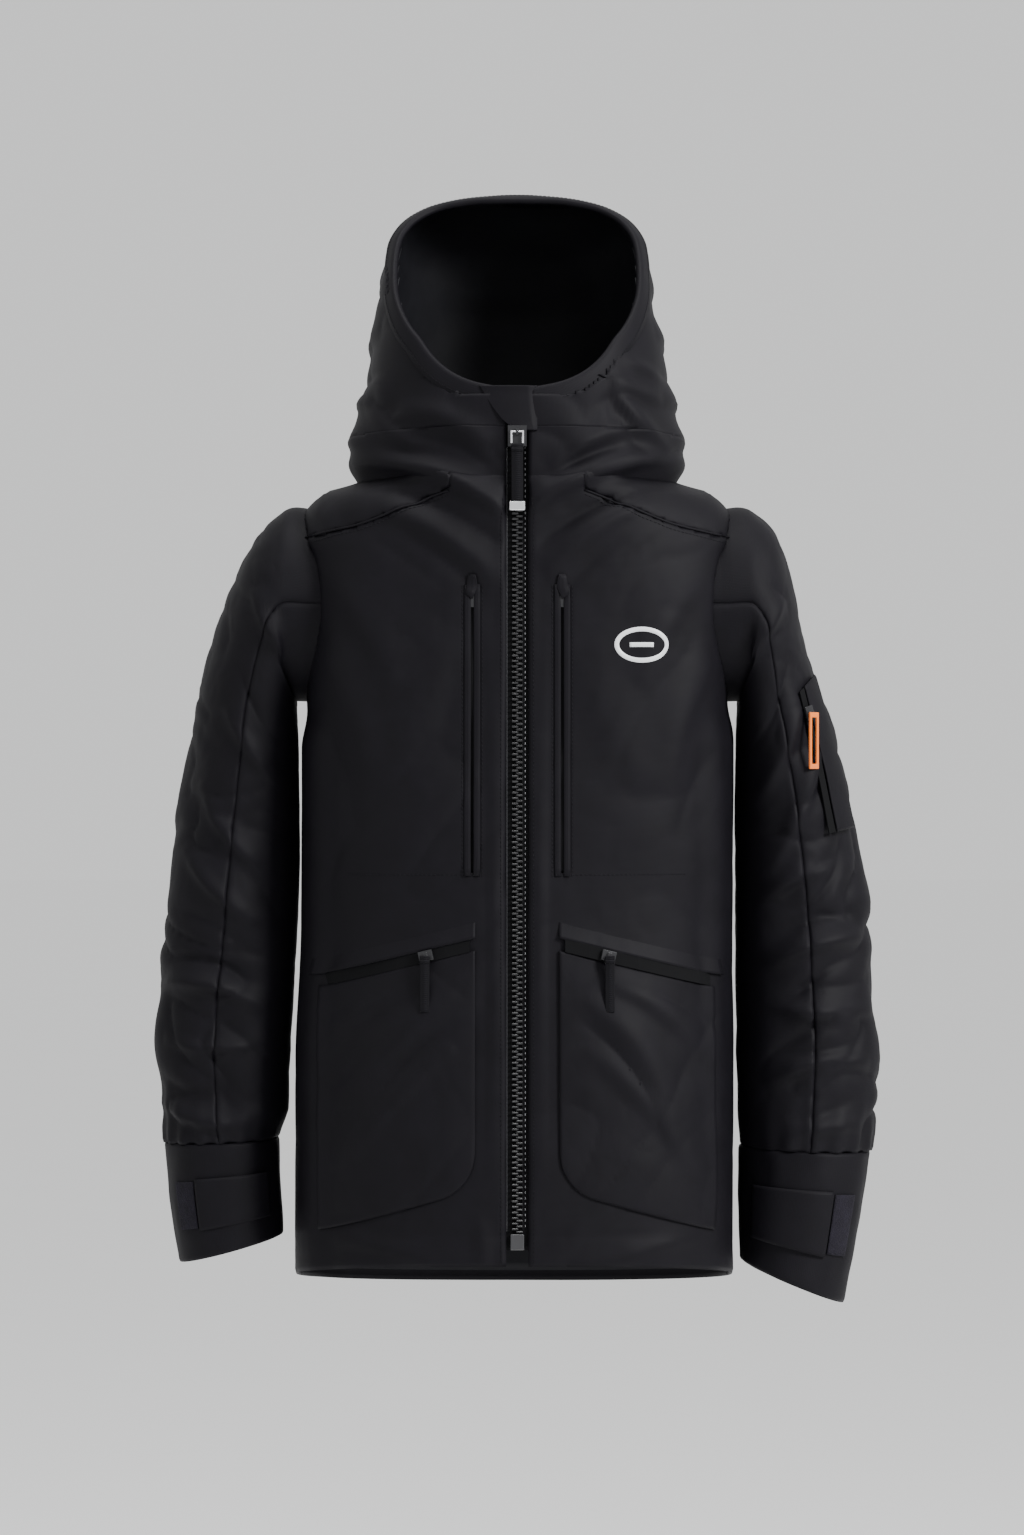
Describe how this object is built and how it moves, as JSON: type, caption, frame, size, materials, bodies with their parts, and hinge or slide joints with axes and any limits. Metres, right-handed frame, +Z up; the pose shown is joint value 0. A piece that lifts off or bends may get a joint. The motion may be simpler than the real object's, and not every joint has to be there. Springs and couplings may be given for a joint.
{
  "type": "ski jacket",
  "caption": "Hooded insulated ski jacket, front zip to the chin, chest, hand and sleeve pockets, tabbed cuffs, powder skirt, empty as if worn.",
  "frame": {"origin": "the top of the hanger loop, at the inside back of the neck, by which the jacket hangs", "axes": "+Z up the body, +X to the wearer's left, -Y out of the front"},
  "size_m": [0.5675, 0.2937, 0.8752],
  "materials": {
    "shell_fabric": "matt fine plain weave, water repellent, near black",
    "lining_fabric": "smooth taffeta, near black",
    "knit_rib": "ribbed knit",
    "zip_tape": "herringbone zip tape",
    "zip_teeth": "moulded, satin",
    "slider_metal": "black enamel, satin",
    "bright_metal": "polished",
    "ribbon": "coarse woven ribbon",
    "orange_cord": "braided cord",
    "moulded_plastic": "fine spark texture"
  },
  "bodies": {
    "jacket_body": {"shoulder_yoke_left": "shell_fabric", "shoulder_yoke_right": "shell_fabric", "front_panel_left": "shell_fabric", "front_panel_right": "shell_fabric", "back_panel": "shell_fabric", "body_lining": "lining_fabric", "powder_skirt": "lining_fabric", "zip_tape_left": "zip_tape", "zip_tape_right": "zip_tape", "zip_teeth_left": "zip_teeth", "zip_teeth_right": "zip_teeth", "zip_bottom_box": "zip_teeth", "storm_flap": "lining_fabric", "chin_guard_left": "shell_fabric", "chin_guard_right": "shell_fabric", "collar_stand": "lining_fabric", "hanger_loop": "ribbon", "chest_zip_left": "zip_tape", "chest_zip_right": "zip_tape", "chest_welt_left": "shell_fabric", "chest_welt_right": "shell_fabric", "hand_zip_left": "zip_tape", "hand_zip_right": "zip_tape", "hand_flap_left": "shell_fabric", "hand_flap_right": "shell_fabric", "hem_left_cord_lock": "moulded_plastic", "hem_right_cord_lock": "moulded_plastic"},
    "hood": {"hood_brim": "shell_fabric", "hood_centre_panel": "shell_fabric", "hood_side_panel_left": "shell_fabric", "hood_side_panel_right": "shell_fabric", "hood_lining": "lining_fabric", "hood_cord_lock": "moulded_plastic"},
    "hood_lock_button": {"hood_lock_button": "moulded_plastic"},
    "hem_left_lock_button": {"hem_left_lock_button": "moulded_plastic"},
    "hem_right_lock_button": {"hem_right_lock_button": "moulded_plastic"},
    "main_zip_slider": {"main_zip_slider": "slider_metal"},
    "main_zip_pull": {"main_zip_bail": "bright_metal", "main_zip_pull": "ribbon", "main_zip_pull_tip": "bright_metal"},
    "chest_slider_left": {"chest_slider_left": "slider_metal"},
    "chest_slider_right": {"chest_slider_right": "slider_metal"},
    "hand_slider_left": {"hand_slider_left": "slider_metal"},
    "hand_slider_right": {"hand_slider_right": "slider_metal"},
    "hand_pull_left": {"hand_pull_left": "ribbon"},
    "hand_pull_right": {"hand_pull_right": "ribbon"},
    "sleeve_left": {"sleeve_outer_left": "shell_fabric", "sleeve_under_left": "shell_fabric", "cuff_left": "shell_fabric", "wrist_gaiter_left": "knit_rib", "sleeve_pocket": "shell_fabric", "sleeve_zip": "zip_tape"},
    "sleeve_right": {"sleeve_outer_right": "shell_fabric", "sleeve_under_right": "shell_fabric", "cuff_right": "shell_fabric", "wrist_gaiter_right": "knit_rib"},
    "cuff_tab_left": {"cuff_tab_left": "ribbon"},
    "cuff_tab_right": {"cuff_tab_right": "ribbon"},
    "sleeve_slider": {"sleeve_slider": "slider_metal"},
    "sleeve_pull": {"sleeve_pull": "orange_cord"}
  },
  "joints": [
    {"name": "hood_tip", "type": "hinge", "parent": "jacket_body", "child": "hood", "pos_m": [0, 0.05591, -0.013], "axis": [-1, 0, 0], "range_deg": [0, 35]},
    {"name": "shoulder_left", "type": "hinge", "parent": "jacket_body", "child": "sleeve_left", "pos_m": [0.17, -0.07189, -0.137], "axis": [-1, 0, 0], "range_deg": [-25, 110]},
    {"name": "shoulder_right", "type": "hinge", "parent": "jacket_body", "child": "sleeve_right", "pos_m": [-0.17, -0.07189, -0.137], "axis": [-1, 0, 0], "range_deg": [-25, 110]},
    {"name": "main_zip_slide", "type": "slide", "parent": "jacket_body", "child": "main_zip_slider", "axis": [0, -0.0612, -0.9981], "range_m": [0, 0.58]},
    {"name": "main_pull_swing", "type": "hinge", "parent": "main_zip_slider", "child": "main_zip_pull", "pos_m": [0, -0.18249, -0.00674], "axis": [-1, 0, 0], "range_deg": [0, 150]},
    {"name": "chest_zip_slide_left", "type": "slide", "parent": "jacket_body", "child": "chest_slider_left", "axis": [0, -0.0612, -0.9981], "range_m": [0, 0.2]},
    {"name": "hand_zip_slide_left", "type": "hinge", "parent": "jacket_body", "child": "hand_slider_left", "pos_m": [0.04812, -0.05874, -0.40178], "axis": [0.2403, -0.0035, 0.9707], "range_deg": [0, 31.6]},
    {"name": "hand_pull_swing_left", "type": "hinge", "parent": "hand_slider_left", "child": "hand_pull_left", "pos_m": [0.07053, -0.20466, -0.40722], "axis": [-0.9842, -0.1769, 0], "range_deg": [0, 120]},
    {"name": "chest_zip_slide_right", "type": "slide", "parent": "jacket_body", "child": "chest_slider_right", "axis": [0, -0.0612, -0.9981], "range_m": [0, 0.2]},
    {"name": "hand_zip_slide_right", "type": "hinge", "parent": "jacket_body", "child": "hand_slider_right", "pos_m": [-0.04812, -0.05874, -0.40178], "axis": [0.2403, 0.0035, -0.9707], "range_deg": [0, 31.6]},
    {"name": "hand_pull_swing_right", "type": "hinge", "parent": "hand_slider_right", "child": "hand_pull_right", "pos_m": [-0.07053, -0.20466, -0.40722], "axis": [-0.9842, 0.1769, 0], "range_deg": [0, 120]},
    {"name": "sleeve_zip_slide", "type": "hinge", "parent": "sleeve_left", "child": "sleeve_slider", "pos_m": [-0.21936, -0.65911, -0.39334], "axis": [-0.742, 0.6592, -0.1216], "range_deg": [0, 6.36]},
    {"name": "sleeve_pull_swing", "type": "hinge", "parent": "sleeve_slider", "child": "sleeve_pull", "pos_m": [0.23059, -0.12934, -0.22114], "axis": [-0.7376, -0.6752, 0], "range_deg": [0, 110]},
    {"name": "cuff_tab_open_left", "type": "hinge", "parent": "sleeve_left", "child": "cuff_tab_left", "pos_m": [0.18291, -0.11306, -0.61003], "axis": [-0.0329, -0.0565, -0.9979], "range_deg": [0, 90]},
    {"name": "cuff_tab_open_right", "type": "hinge", "parent": "sleeve_right", "child": "cuff_tab_right", "pos_m": [-0.19326, -0.11301, -0.59658], "axis": [-0.0595, 0.0686, 0.9959], "range_deg": [0, 90]},
    {"name": "hood_lock_press", "type": "slide", "parent": "hood", "child": "hood_lock_button", "axis": [0, 0, -1], "range_m": [0, 0.0045], "stiffness_N_per_m": 400},
    {"name": "hem_lock_press_left", "type": "slide", "parent": "jacket_body", "child": "hem_left_lock_button", "axis": [0, 0, 1], "range_m": [0, 0.0045], "stiffness_N_per_m": 400},
    {"name": "hem_lock_press_right", "type": "slide", "parent": "jacket_body", "child": "hem_right_lock_button", "axis": [0, 0, 1], "range_m": [0, 0.0045], "stiffness_N_per_m": 400}
  ]
}
